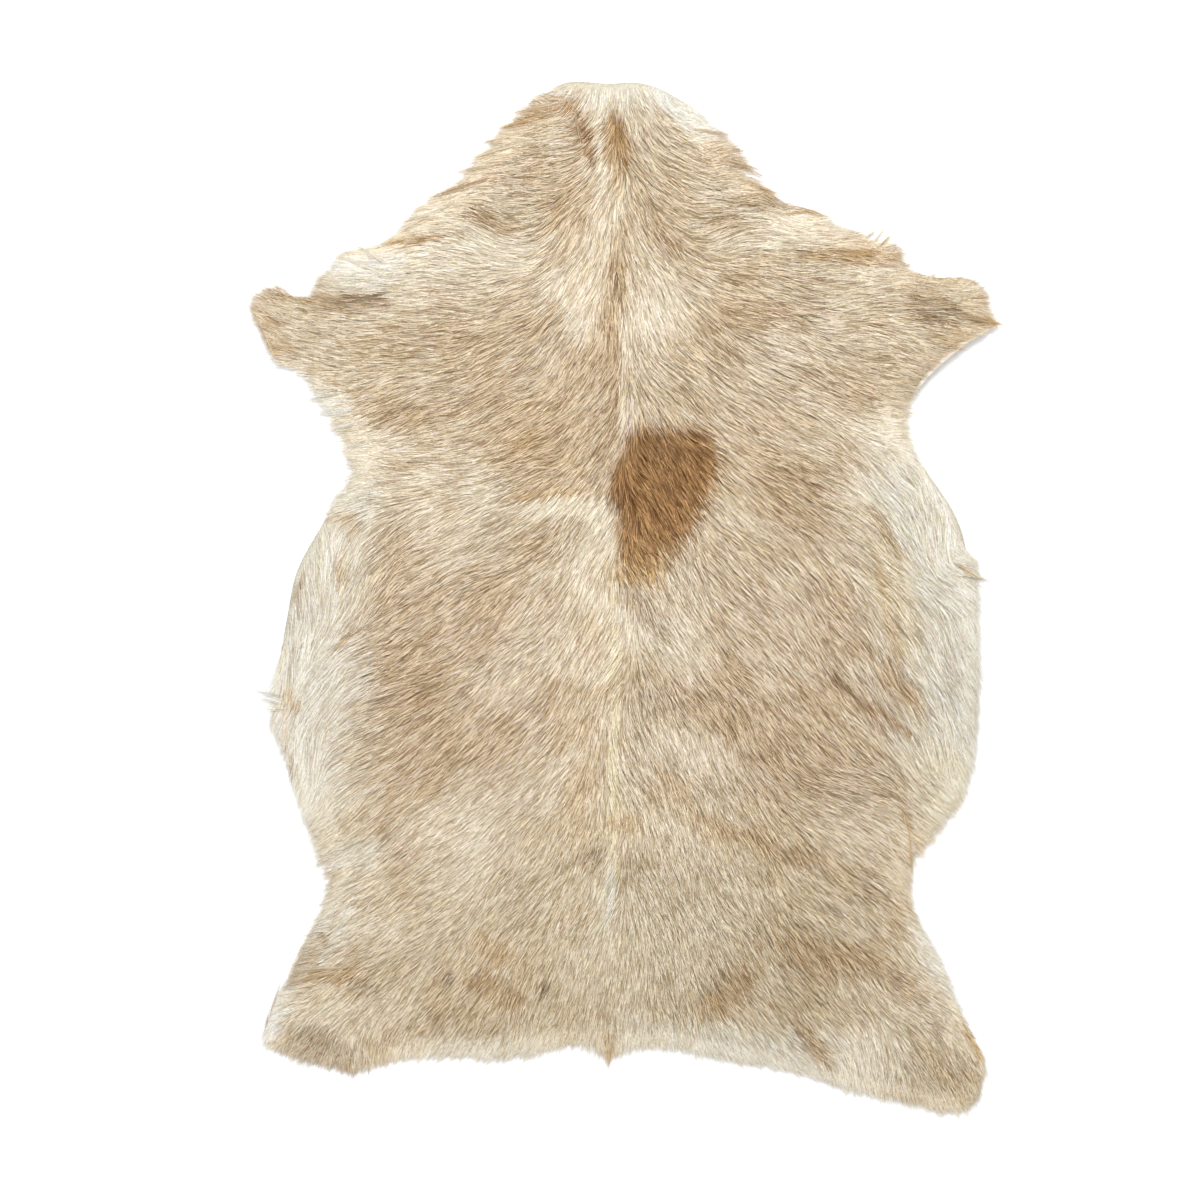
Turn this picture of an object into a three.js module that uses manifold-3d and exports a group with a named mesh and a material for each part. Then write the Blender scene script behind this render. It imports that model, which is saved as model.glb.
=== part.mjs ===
// A whole goatskin with its hair on, lying flat on its flesh side, in millimetres.
// X runs across the back, Y along the spine towards the neck, and Z up, away from the floor.
// The origin is on the floor, in the middle of the hide's outline box.

import * as THREE from "three";
import { mergeVertices } from "three/addons/utils/BufferGeometryUtils.js";
import Module from "manifold-3d";

// Driving dimensions
const LEATHER = 1.2; // thickness of the tanned skin
const CUT_EDGE = 2.2; // height of the rim, where the hair lies thin over the skin
const RIM_RUN = 34; // how far in from the rim the coat reaches its full height
const GRID = 12.6; // step of the net of points on the coat
const GRID_MARGIN = 9; // how far that net runs past the outline
const BELOW = 40; // how far the blocks that cut the hide reach past it, above and below
const CURVE_STEP = 7; // step along the smooth rim, where no locks stand
const NOTCH_SHARE = 0.6; // depth of the notch between two locks, as a share of their reach
const TIP_SHARE = 0.6; // how far the longest tip stands out past the rim, as a share of their reach
const SHORTEST_LOCK = 0.45; // length of the shortest lock, as a share of the longest
const LOCK_SHIFT = 0.3; // how far a tip may stray along the rim, as a share of the pitch
const COAT_REACH = 40; // how near a region counts fully for the height of the coat
const NEARNESS = 3; // how fast a region counts for less with distance
const ROUGHNESS = 0.9;
const COAT_COLOUR = 0xd6c3a2;

// The rim, clockwise from the left corner of the neck cut, one row for each section.
// edge: points that a smooth curve runs through, as [x, y]. Each section ends where the next begins.
// pitch: from lock to lock. reach: how far the locks stand out. lie: where their tips point, in degrees.
const RIM = [
  {
    section: "neck cut", pitch: 13, reach: 1.2, lie: 90,
    edge: [[-62, 447], [-50, 450], [-30, 448.5], [-15, 447], [10, 450]],
  },
  {
    section: "right neck lobe", pitch: 12, reach: 1.6, lie: 10,
    edge: [[10, 450], [30, 443], [50, 433], [65, 419], [78, 407]],
  },
  {
    section: "right neck side", pitch: 12, reach: 5, lie: 4,
    edge: [
      [78, 407], [97, 399], [96, 386], [102, 377], [116, 368], [130, 355], [146, 340], [171, 335],
      [192, 319], [207, 308], [229, 301], [243, 286], [258, 282], [297, 280], [312, 267], [314, 248],
      [329, 236],
    ],
  },
  {
    section: "right foreleg, underside", pitch: 0, reach: 0, lie: 0,
    edge: [[329, 236], [300, 222], [277, 204], [256, 184], [245, 167], [242, 150]],
  },
  {
    section: "right flank", pitch: 13, reach: 2.5, lie: -65,
    edge: [
      [242, 150], [251, 128], [270, 100], [287, 73], [298, 42], [305, 12], [307, -20], [306, -50],
      [307, -90], [304, -120], [300, -150], [288, -181], [270, -205], [250, -228], [246, -262],
    ],
  },
  {
    section: "right hind leg", pitch: 13, reach: 3, lie: -50,
    edge: [
      [246, -262], [258, -286], [277, -322], [292, -359], [306, -387], [314, -404], [313, -422],
      [303, -444], [285, -450], [258, -442], [220, -434], [184, -426], [165, -418],
    ],
  },
  {
    section: "rump, right half", pitch: 10, reach: 5, lie: -78,
    edge: [[165, -418], [130, -412], [95, -406], [60, -397], [40, -392], [3, -393], [-15, -409]],
  },
  {
    section: "rump, left half", pitch: 10, reach: 5, lie: -102,
    edge: [
      [-15, -409], [-30, -393], [-55, -390], [-90, -402], [-115, -405], [-150, -402], [-185, -403],
      [-210, -408], [-238, -416],
    ],
  },
  {
    section: "left hind foot", pitch: 12, reach: 3.5, lie: -110,
    edge: [[-238, -416], [-268, -409], [-290, -402], [-317, -390]],
  },
  {
    section: "left hind leg, side", pitch: 0, reach: 0, lie: 0,
    edge: [[-317, -390], [-311, -364], [-300, -340], [-289, -314], [-278, -287], [-264, -266]],
  },
  {
    section: "left flank", pitch: 13, reach: 2.5, lie: -125,
    edge: [
      [-264, -266], [-266, -238], [-275, -204], [-287, -168], [-301, -129], [-313, -94], [-303, -74],
      [-302, -48], [-294, -6], [-287, 26], [-267, 62], [-252, 92], [-243, 113], [-250, 134],
    ],
  },
  {
    section: "left foreleg, underside", pitch: 12, reach: 3.5, lie: 190,
    edge: [
      [-250, 134], [-264, 152], [-279, 180], [-303, 202], [-317, 230], [-328, 252], [-322, 265],
    ],
  },
  {
    section: "left foreleg, top", pitch: 12, reach: 3, lie: 160,
    edge: [
      [-322, 265], [-310, 272], [-297, 267], [-280, 261], [-262, 268], [-258, 290], [-245, 301],
      [-220, 304], [-203, 314],
    ],
  },
  {
    section: "left neck side", pitch: 11, reach: 5, lie: 172,
    edge: [
      [-203, 314], [-190, 329], [-178, 345], [-155, 356], [-147, 372], [-130, 385], [-113, 405],
      [-100, 415], [-84, 433], [-62, 447],
    ],
  },
];

// Tufts that stand out by themselves: where each leaves the rim, where its tip is, and its width.
const TUFTS = [
  { x: 96, y: 384, tipX: 115, tipY: 376, width: 16 },
  { x: 212, y: 308, tipX: 217, tipY: 323, width: 13 },
  { x: 223, y: 304, tipX: 225, tipY: 327, width: 13 },
  { x: 233, y: 297, tipX: 239, tipY: 306, width: 12 },
  { x: 306, y: 8, tipX: 314, tipY: 12, width: 12 },
  { x: -309, y: -86, tipX: -324, tipY: -81, width: 13 },
  { x: -313, y: -98, tipX: -320, tipY: -93, width: 9 },
  { x: -262, y: 276, tipX: -270, tipY: 280, width: 10 },
  { x: -253, y: 297, tipX: -252, tipY: 311, width: 18 },
  { x: -270, y: 162, tipX: -279, tipY: 171, width: 12 },
  { x: -150, y: 366, tipX: -145, tipY: 382, width: 14 },
  { x: -113, y: 404, tipX: -116, tipY: 413, width: 14 },
  { x: -99, y: 416, tipX: -104, tipY: 421, width: 10 },
];

// Height of the coat over the floor, region by region. Between them it passes smoothly.
const COAT = [
  { region: "neck", x: 0, y: 400, height: 10.5 },
  { region: "left shoulder", x: -110, y: 280, height: 10 },
  { region: "right shoulder", x: 110, y: 280, height: 10 },
  { region: "left foreleg", x: -270, y: 225, height: 7 },
  { region: "right foreleg", x: 280, y: 255, height: 7 },
  { region: "back", x: 0, y: 120, height: 9.5 },
  { region: "left flank", x: -250, y: -60, height: 9.5 },
  { region: "right flank", x: 250, y: -60, height: 9 },
  { region: "loin", x: 0, y: -120, height: 8.5 },
  { region: "rump", x: 0, y: -330, height: 7 },
  { region: "left hind leg", x: -250, y: -350, height: 6.5 },
  { region: "right hind leg", x: 260, y: -380, height: 6.5 },
];

// Rises and hollows of the coat alone. Each is an oval: half its length, half its width, the
// direction of its length in degrees, and how far it rises at its middle.
const SWELLS = [
  { form: "spine ridge", x: -11, y: -10, long: 420, wide: 26, turn: 90, rise: 1.9 },
  { form: "hollow left of the spine", x: -42, y: 240, long: 75, wide: 22, turn: 90, rise: -1.4 },
  { form: "hollow right of the spine", x: 36, y: 240, long: 75, wide: 20, turn: 90, rise: -1.4 },
  { form: "crest down the neck", x: 0, y: 395, long: 62, wide: 24, turn: 90, rise: 2 },
  { form: "roll along the left neck", x: -112, y: 352, long: 70, wide: 24, turn: 42, rise: 2.2 },
  { form: "roll along the right neck", x: 112, y: 340, long: 70, wide: 24, turn: -40, rise: 2.2 },
  { form: "left shoulder blade", x: -165, y: 300, long: 80, wide: 30, turn: 8, rise: 1.8 },
  { form: "right shoulder blade", x: 165, y: 280, long: 85, wide: 32, turn: -6, rise: 1.8 },
  { form: "crease over the left foreleg", x: -238, y: 257, long: 62, wide: 13, turn: 4, rise: -3 },
  { form: "crease behind the shoulder", x: -75, y: 90, long: 90, wide: 12, turn: 0, rise: -1.2 },
  { form: "crease over the loin", x: 10, y: -205, long: 190, wide: 13, turn: -2, rise: -1.4 },
  { form: "left flank swell", x: -225, y: 20, long: 120, wide: 42, turn: 82, rise: 1.6 },
  { form: "left flank tuft", x: -292, y: -98, long: 34, wide: 16, turn: 62, rise: 3.2 },
  { form: "right flank swell", x: 250, y: 20, long: 120, wide: 36, turn: -86, rise: 1.4 },
  { form: "right flank hollow", x: 222, y: -100, long: 70, wide: 18, turn: -36, rise: -1.6 },
  { form: "right thigh ridge", x: 175, y: -318, long: 75, wide: 24, turn: -18, rise: 1.6 },
  { form: "left thigh ridge", x: -240, y: -322, long: 60, wide: 26, turn: -40, rise: 1.3 },
  { form: "tail root", x: -14, y: -368, long: 44, wide: 16, turn: 90, rise: 1.6 },
];

// Places where the leather itself leaves the floor, in the same columns. Each lies over the rim.
const LIFTS = [
  { form: "right foreleg, curled underside", x: 286, y: 199, long: 74, wide: 30, turn: 40, rise: 9 },
  { form: "left foreleg, curled underside", x: -312, y: 204, long: 66, wide: 24, turn: -55, rise: 6 },
  { form: "left foreleg, folded top", x: -294, y: 275, long: 40, wide: 17, turn: -8, rise: 8 },
  { form: "left hind leg, curled side", x: -318, y: -358, long: 58, wide: 24, turn: 68, rise: 7 },
  { form: "rim fold at the right neck", x: 158, y: 344, long: 22, wide: 14, turn: -12, rise: 4 },
];

// Unevenness of the whole coat: lumps that rise and fall at random, wide ones with small ones on them.
// Each kind has its usual width, its range of height, and the turn of its net in degrees.
const LUMPS = [
  { across: 86, rise: 1.1, turn: 17 },
  { across: 39, rise: 0.9, turn: 52 },
  { across: 23, rise: 0.6, turn: 81 },
];

const radians = THREE.MathUtils.degToRad;

// A number from 0 to 1 that looks random and is the same each time for the same two whole numbers.
function scatter(row, column) {
  const wave = Math.sin(row * 127.1 + column * 311.7) * 43758.5453;
  return wave - Math.floor(wave);
}

// How high an oval bump stands at a point, as a share of its rise: 1 at its middle, 0 at its rim.
function ovalShare(oval, x, y) {
  const turn = radians(oval.turn);
  const along = (x - oval.x) * Math.cos(turn) + (y - oval.y) * Math.sin(turn);
  const across = (y - oval.y) * Math.cos(turn) - (x - oval.x) * Math.sin(turn);
  const reach = (along / oval.long) ** 2 + (across / oval.wide) ** 2;
  return reach < 1 ? (1 - reach) ** 2 : 0;
}

function sumOfOvals(ovals, x, y) {
  return ovals.reduce((sum, oval) => sum + oval.rise * ovalShare(oval, x, y), 0);
}

// The smooth curve of one section of the rim, through its points.
function sectionCurve(section) {
  const places = section.edge.map(([x, y]) => new THREE.Vector3(x, y, 0));
  return new THREE.CatmullRomCurve3(places, false, "centripetal");
}

// The rim of one section as a row of points: plain steps, or a tip and a notch for each lock.
function sectionPoints(section, row) {
  const curve = sectionCurve(section);
  const length = curve.getLength();
  if (!section.pitch) {
    const steps = Math.round(length / CURVE_STEP);
    return curve.getSpacedPoints(steps).slice(0, steps);
  }
  const locks = Math.round(length / section.pitch);
  const lie = new THREE.Vector3(Math.cos(radians(section.lie)), Math.sin(radians(section.lie)), 0);
  const points = [];
  for (let lock = 0; lock < locks; lock++) {
    const shift = LOCK_SHIFT * (scatter(row, 2 * lock) - 0.5);
    const size = THREE.MathUtils.lerp(SHORTEST_LOCK, 1, scatter(row, 2 * lock + 1)) * section.reach;
    const start = lock / locks;
    const middle = (lock + 0.5 + shift) / locks;
    const inward = curve.getTangentAt(start).applyAxisAngle(new THREE.Vector3(0, 0, 1), -Math.PI / 2);
    const depth = lock ? NOTCH_SHARE * section.reach : 0;
    const notch = curve.getPointAt(start).addScaledVector(inward, depth);
    points.push(notch, curve.getPointAt(middle).addScaledVector(lie, TIP_SHARE * size));
  }
  return points;
}

// Puts a tuft in place of the stretch of rim that it covers.
function addTuft(points, tuft) {
  const root = new THREE.Vector3(tuft.x, tuft.y, 0);
  const covered = points.map((point) => point.distanceTo(root) < tuft.width / 2);
  const nearest = points.reduce(
    (best, point, at) => (point.distanceTo(root) < points[best].distanceTo(root) ? at : best), 0,
  );
  const kept = points.map((point, at) => ({ point, at })).filter(({ at }) => !covered[at]);
  const before = kept.filter(({ at }) => at < nearest).map(({ point }) => point);
  const after = kept.filter(({ at }) => at >= nearest).map(({ point }) => point);
  return [...before, new THREE.Vector3(tuft.tipX, tuft.tipY, 0), ...after];
}

// The outline with all its locks and tufts, moved so that its box is centred on the origin.
function hideOutline() {
  const rim = RIM.flatMap(sectionPoints);
  const points = TUFTS.reduce(addTuft, rim);
  const centre = new THREE.Box3().setFromPoints(points).getCenter(new THREE.Vector3());
  return { points: points.map((point) => new THREE.Vector2(point.x, point.y)), centre };
}

// How far a place lies from the outline.
function rimDistance(points, x, y) {
  let nearest = Infinity;
  for (let at = 0; at < points.length; at++) {
    const a = points[at];
    const b = points[(at + 1) % points.length];
    const run = b.clone().sub(a);
    const share = ((x - a.x) * run.x + (y - a.y) * run.y) / run.lengthSq();
    const foot = a.clone().addScaledVector(run, THREE.MathUtils.clamp(share, 0, 1));
    nearest = Math.min(nearest, Math.hypot(x - foot.x, y - foot.y));
  }
  return nearest;
}

// Full height of the coat at a place, from the regions round it, the nearest ones counting most.
function coatHeight(x, y) {
  let total = 0;
  let weights = 0;
  for (const region of COAT) {
    const weight = 1 / Math.hypot(x - region.x, y - region.y, COAT_REACH) ** NEARNESS;
    total += weight * region.height;
    weights += weight;
  }
  return total / weights;
}

// A smooth random height from -0.5 to 0.5, with one random number for each corner of a square net.
function roll(x, y) {
  const column = Math.floor(x);
  const row = Math.floor(y);
  const right = THREE.MathUtils.smoothstep(x - column, 0, 1);
  const up = THREE.MathUtils.smoothstep(y - row, 0, 1);
  const low = THREE.MathUtils.lerp(scatter(row, column), scatter(row, column + 1), right);
  const high = THREE.MathUtils.lerp(scatter(row + 1, column), scatter(row + 1, column + 1), right);
  return THREE.MathUtils.lerp(low, high, up) - 0.5;
}

function lumpHeight(x, y) {
  return LUMPS.reduce((sum, lump) => {
    const turn = radians(lump.turn);
    const along = (x * Math.cos(turn) + y * Math.sin(turn)) / lump.across;
    const aside = (y * Math.cos(turn) - x * Math.sin(turn)) / lump.across;
    return sum + lump.rise * roll(along, aside);
  }, 0);
}

// Height of the coat's surface over the leather's underside at a place inside the outline.
function coatTop(points, x, y) {
  const inside = THREE.MathUtils.smoothstep(rimDistance(points, x, y), 0, RIM_RUN);
  const full = coatHeight(x, y) + sumOfOvals(SWELLS, x, y) + lumpHeight(x, y);
  return CUT_EDGE + inside * (Math.max(full, LEATHER + CUT_EDGE) - CUT_EDGE);
}

// A block over a box in plan, from below the floor up to the height that a rule gives each place.
function unevenBlock(box, rule) {
  const size = box.getSize(new THREE.Vector2());
  const middle = box.getCenter(new THREE.Vector2());
  const columns = Math.ceil(size.x / GRID);
  const rows = Math.ceil(size.y / GRID);
  const block = new THREE.BoxGeometry(size.x, size.y, 2 * BELOW, columns, rows, 1);
  block.translate(middle.x, middle.y, 0);
  const place = block.getAttribute("position");
  for (let at = 0; at < place.count; at++) {
    if (place.getZ(at) > 0) place.setZ(at, rule(place.getX(at), place.getY(at)));
  }
  return block;
}

// Everything under the coat's surface.
function coatBlock(points) {
  const box = new THREE.Box2().setFromPoints(points).expandByScalar(GRID_MARGIN);
  return unevenBlock(box, (x, y) => sumOfOvals(LIFTS, x, y) + coatTop(points, x, y));
}

// The space under one place where the leather leaves the floor.
function liftedSpace(lift) {
  const box = new THREE.Box2().setFromCenterAndSize(
    new THREE.Vector2(lift.x, lift.y), new THREE.Vector2(2 * lift.long, 2 * lift.long),
  );
  return unevenBlock(box, (x, y) => ovalShare(lift, x, y) * lift.rise || -BELOW / 2);
}

// The outline as a prism that stands on the floor and passes the coat above.
function outlinePrism(points) {
  return new THREE.ExtrudeGeometry(new THREE.Shape(points), { depth: BELOW, bevelEnabled: false });
}

const wasm = await Module();
wasm.setup();

function toSolid(geometry) {
  geometry.deleteAttribute("normal");
  geometry.deleteAttribute("uv");
  const merged = mergeVertices(geometry, 1e-4);
  return new wasm.Manifold(new wasm.Mesh({
    numProp: 3,
    vertProperties: new Float32Array(merged.getAttribute("position").array),
    triVerts: new Uint32Array(merged.getIndex().array),
  }));
}

function toGeometry(solid) {
  const mesh = solid.getMesh();
  const geometry = new THREE.BufferGeometry();
  geometry.setAttribute("position", new THREE.BufferAttribute(mesh.vertProperties, 3));
  geometry.setIndex(new THREE.BufferAttribute(mesh.triVerts, 1));
  geometry.computeVertexNormals();
  return geometry;
}

function goatskin() {
  const { points, centre } = hideOutline();
  const flat = toSolid(coatBlock(points)).intersect(toSolid(outlinePrism(points)));
  const hide = LIFTS.reduce((skin, lift) => skin.subtract(toSolid(liftedSpace(lift))), flat);
  const geometry = toGeometry(hide).translate(-centre.x, -centre.y, 0);
  const coat = new THREE.MeshStandardMaterial({ color: COAT_COLOUR, roughness: ROUGHNESS, metalness: 0 });
  const mesh = new THREE.Mesh(geometry, coat);
  mesh.name = "goatskin";
  return mesh;
}

const part = new THREE.Group();
part.add(goatskin());

export default part;
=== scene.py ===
"""A goatskin rug: the tanned hide with its hair on, lying flat on a pale floor and seen from above."""

import math

import bpy
import numpy as np
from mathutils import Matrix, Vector
from mathutils.bvhtree import BVHTree
from mathutils.geometry import delaunay_2d_cdt


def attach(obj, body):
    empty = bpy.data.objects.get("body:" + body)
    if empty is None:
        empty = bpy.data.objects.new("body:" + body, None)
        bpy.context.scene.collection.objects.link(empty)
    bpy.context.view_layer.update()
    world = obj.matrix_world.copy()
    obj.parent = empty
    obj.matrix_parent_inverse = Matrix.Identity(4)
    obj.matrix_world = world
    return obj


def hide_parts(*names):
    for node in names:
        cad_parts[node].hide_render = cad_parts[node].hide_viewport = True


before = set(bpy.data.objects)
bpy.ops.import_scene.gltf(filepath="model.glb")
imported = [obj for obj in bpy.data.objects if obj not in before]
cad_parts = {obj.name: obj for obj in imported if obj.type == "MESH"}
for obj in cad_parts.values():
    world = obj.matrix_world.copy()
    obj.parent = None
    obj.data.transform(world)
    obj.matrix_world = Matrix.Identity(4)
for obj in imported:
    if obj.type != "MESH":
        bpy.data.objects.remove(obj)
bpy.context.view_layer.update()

# Sizes below are in millimetres in the row's frame, and become metres where a mesh is made.
MM = 0.001
NODE = "goatskin"

# The photograph's frame: its width on the floor, and the floor point in its middle
PHOTO_WIDTH = 1040.5
PHOTO_MIDDLE = (-23.6, -0.7)
LENS, SENSOR = 90, 36

LEATHER = 1.2  # thickness of the tanned skin
FLOOR_GAP = 0.05  # the floor lies this far under the hide
GROUND_STEP = 3.0  # step of the net on which the solid's heights are read
LEATHER_STEP = 8.0
LOOP_STEP = 4.0
ROW_PITCH = 0.866  # between the rows of a net of triangles, as a share of its step
COAT_SMOOTHING = 5  # passes that take the teeth off the outline before the hair is cut to it
SKIN_SMOOTHING = 14  # passes that take the tufts and notches of the hair off the skin's edge
SKIN_PASSES = 36  # in which the skin's edge finds its place under the hair
UNDERCOAT_STEP = 5.6
UNDERCOAT_SHARE = 0.58  # height of the woolly undercoat, as a share of the coat's

# Locks of hair
LOCK_SPACING = 3.45  # between the middles of neighbouring locks
STRANDS = 9  # in each lock
LOCK_HALF_WIDTH = 1.5
LOCK_SPREAD = 4.0  # how far the roots of one lock lie along it, to either side
STRAND_WIDTH = 0.66
BELLY = 0.42  # where the widest point of a strand lies, as a share of its length
STRAND_SHADES = np.array([0.78, 0.97, 0.97, 1.05])  # of a strand's root, two sides and tip: the hair's own banding, and painted shade at the root, deep in the coat
COAT_TONE = 0.98  # how light the coat is as a whole
DARK_SHARE = 0.17  # share of the strands that are darker than their neighbours: dark hairs, and painted shade of the gaps between locks
DARK_TONE = -0.56
GOLDEN_SHARE = 0.16  # share of the strands with a golden tint
HUE_SCATTER = np.array([0.025, 0.02, 0.06])  # how much the colour channels vary from strand to strand
RAGGED = 2.6  # how raggedly the hair ends at the outline
WAY_OUT_LIMIT = 45.0  # hair that starts further than this from the outline doesn't heed it
FUZZ = 16000  # fine pale strands round the rim
FUZZ_WIDTH = 0.36
TUFT_WIDTH = 0.45
WISP_SPACING = 4.6  # along the rim
WISP_STRANDS = 15
TUFT_STRANDS = 7  # for each millimetre of a tuft's width

# Length of the hair, region by region: x, y, length, width of a strand as a share of the usual
HAIR = [
    (0, 430, 16, 0.8), (-80, 400, 28, 1), (80, 390, 28, 1), (0, 340, 25, 1), (-120, 330, 28, 1),
    (120, 320, 28, 1), (-200, 260, 27, 1), (200, 260, 27, 1), (-290, 240, 20, 0.9), (290, 255, 20, 0.9),
    (0, 200, 22, 1), (-150, 150, 26, 1), (150, 150, 27, 1), (0, 60, 21, 1), (-270, 30, 34, 0.85),
    (275, 30, 34, 0.85), (-290, -80, 38, 0.8), (285, -80, 36, 0.8), (-150, -50, 24, 1), (150, -50, 25, 1),
    (0, -120, 20, 0.95), (-260, -190, 30, 0.85), (265, -180, 28, 0.85), (0, -250, 16, 0.85),
    (-100, -250, 17, 0.85), (100, -250, 18, 0.85), (0, -350, 15, 0.75), (-120, -350, 16, 0.8),
    (120, -350, 17, 0.8), (-240, -300, 19, 0.85), (240, -320, 20, 0.85), (-280, -390, 14, 0.8),
    (290, -420, 16, 0.8),
]

# How the hair lies: x, y, and where its tips point, in degrees from +X. Between them it turns smoothly.
FLOW = [
    (-15, 440, -95), (-50, 440, -125), (-80, 430, -170), (20, 435, -60), (50, 420, -35), (80, 400, -6),
    (46, 386, -28), (58, 362, -8), (62, 342, 6), (110, 380, -6), (40, 340, -34), (-20, 400, -130),
    (-60, 400, -175), (0, 400, -80), (15, 380, -55), (40, 370, -25), (80, 375, 8), (-20, 360, -115),
    (-40, 350, -135), (-70, 360, -175), (-150, 352, -165), (-100, 385, -178), (-25, 320, -100),
    (-45, 310, -125), (-70, 295, -150), (-90, 300, 175), (-120, 318, 155), (-160, 322, 175),
    (-190, 320, -155), (10, 330, -65), (30, 300, -55), (60, 290, -25), (75, 315, 25), (100, 335, 5),
    (130, 345, -20), (160, 330, -3), (-12, 250, -92), (-40, 270, -115), (-60, 240, -135), (-100, 260, -165),
    (-150, 270, 178), (-200, 270, 178), (-250, 270, 178), (-290, 236, 165), (-310, 250, 150),
    (-286, 212, 174), (-272, 196, 178), (10, 250, -80), (30, 240, -60), (60, 230, -40), (100, 260, -10),
    (200, 260, -2), (280, 262, 0), (312, 262, -8), (308, 244, -14), (286, 226, -12), (262, 204, -16),
    (246, 184, -20), (-40, 200, -125), (-100, 200, -155), (-220, 165, -160), (-260, 160, -175),
    (40, 200, -45), (120, 200, -27), (180, 180, -27), (230, 180, -15), (235, 150, -5), (-30, 130, -130),
    (-80, 130, -155), (-150, 120, -172), (-220, 110, 180), (-240, 90, -160), (30, 110, -58), (80, 120, -40),
    (150, 120, -25), (230, 110, -45), (255, 90, -70), (280, 60, -85), (-30, 60, -125), (-100, 60, -150),
    (-160, 50, -155), (-210, 50, -145), (-240, 40, -120), (-265, 40, -85), (-285, 20, -75), (30, 30, -65),
    (100, 40, -40), (210, 30, -45), (290, 20, -40), (-30, -50, -120), (-100, -50, -140), (-170, -50, -150),
    (-220, -60, -155), (-260, -60, -130), (-290, -50, -95), (40, -50, -60), (120, -50, -50),
    (200, -40, -55), (290, -40, -65), (-100, -150, -138), (-180, -150, -145), (-240, -140, -150),
    (-275, -140, -100), (40, -150, -65), (180, -110, -45), (230, -100, -55), (280, -120, -70),
    (200, -170, -20), (250, -190, -40), (-30, -250, -115), (-100, -250, -130), (-180, -250, -140),
    (-250, -230, -150), (30, -250, -70), (100, -250, -60), (180, -250, -38), (230, -280, -45),
    (-20, -350, -97), (-80, -350, -110), (-130, -350, -130), (-250, -350, -140), (-290, -330, -170),
    (-270, -385, -125), (-240, -405, -95), (0, -370, -90), (50, -370, -75), (100, -370, -60),
    (150, -370, -48), (260, -350, -35), (260, -390, -55), (220, -410, -80), (290, -430, -60),
]

# Colours of the hair
PALETTE = {
    "cream": "#f1e8d4", "beige": "#e1d0b3", "tan": "#c7ab84", "brown": "#ab7f4f", "dark": "#634530",
    "orange": "#cca567", "white": "#eff0ea", "pale": "#e8e4d6", "grey": "#b19c7e",
    "mist": "#dcd8cb", "khaki": "#cdbd9c",
    "yellow": "#f2e8c9", "rose": "#cfb798", "leather": "#efe9df", "flesh": "#dccfb9",
}
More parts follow.
